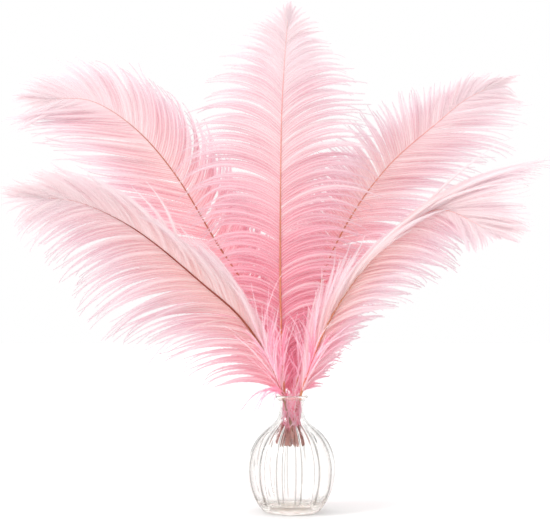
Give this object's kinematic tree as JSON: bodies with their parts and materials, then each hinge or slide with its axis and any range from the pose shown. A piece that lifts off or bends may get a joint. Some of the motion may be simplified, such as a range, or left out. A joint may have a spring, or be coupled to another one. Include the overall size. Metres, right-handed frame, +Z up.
{
  "type": "ostrich feather arrangement",
  "caption": "Dyed ostrich plumes fanned out of a small clear ribbed glass bud vase.",
  "frame": {"origin": "middle of the vase's flat base", "axes": "+Z up the vase, -Y towards the front of the arrangement, +X to its right as seen from the front"},
  "size_m": [0.4958, 0.202, 0.4599],
  "materials": {
    "vase_glass": "gloss",
    "dyed_plume": "matte"
  },
  "bodies": {
    "root": {"vase": "vase_glass", "feather_centre": "dyed_plume", "feather_rear_left": "dyed_plume", "feather_rear_right": "dyed_plume", "feather_front_left": "dyed_plume", "feather_front_right": "dyed_plume"}
  },
  "joints": []
}
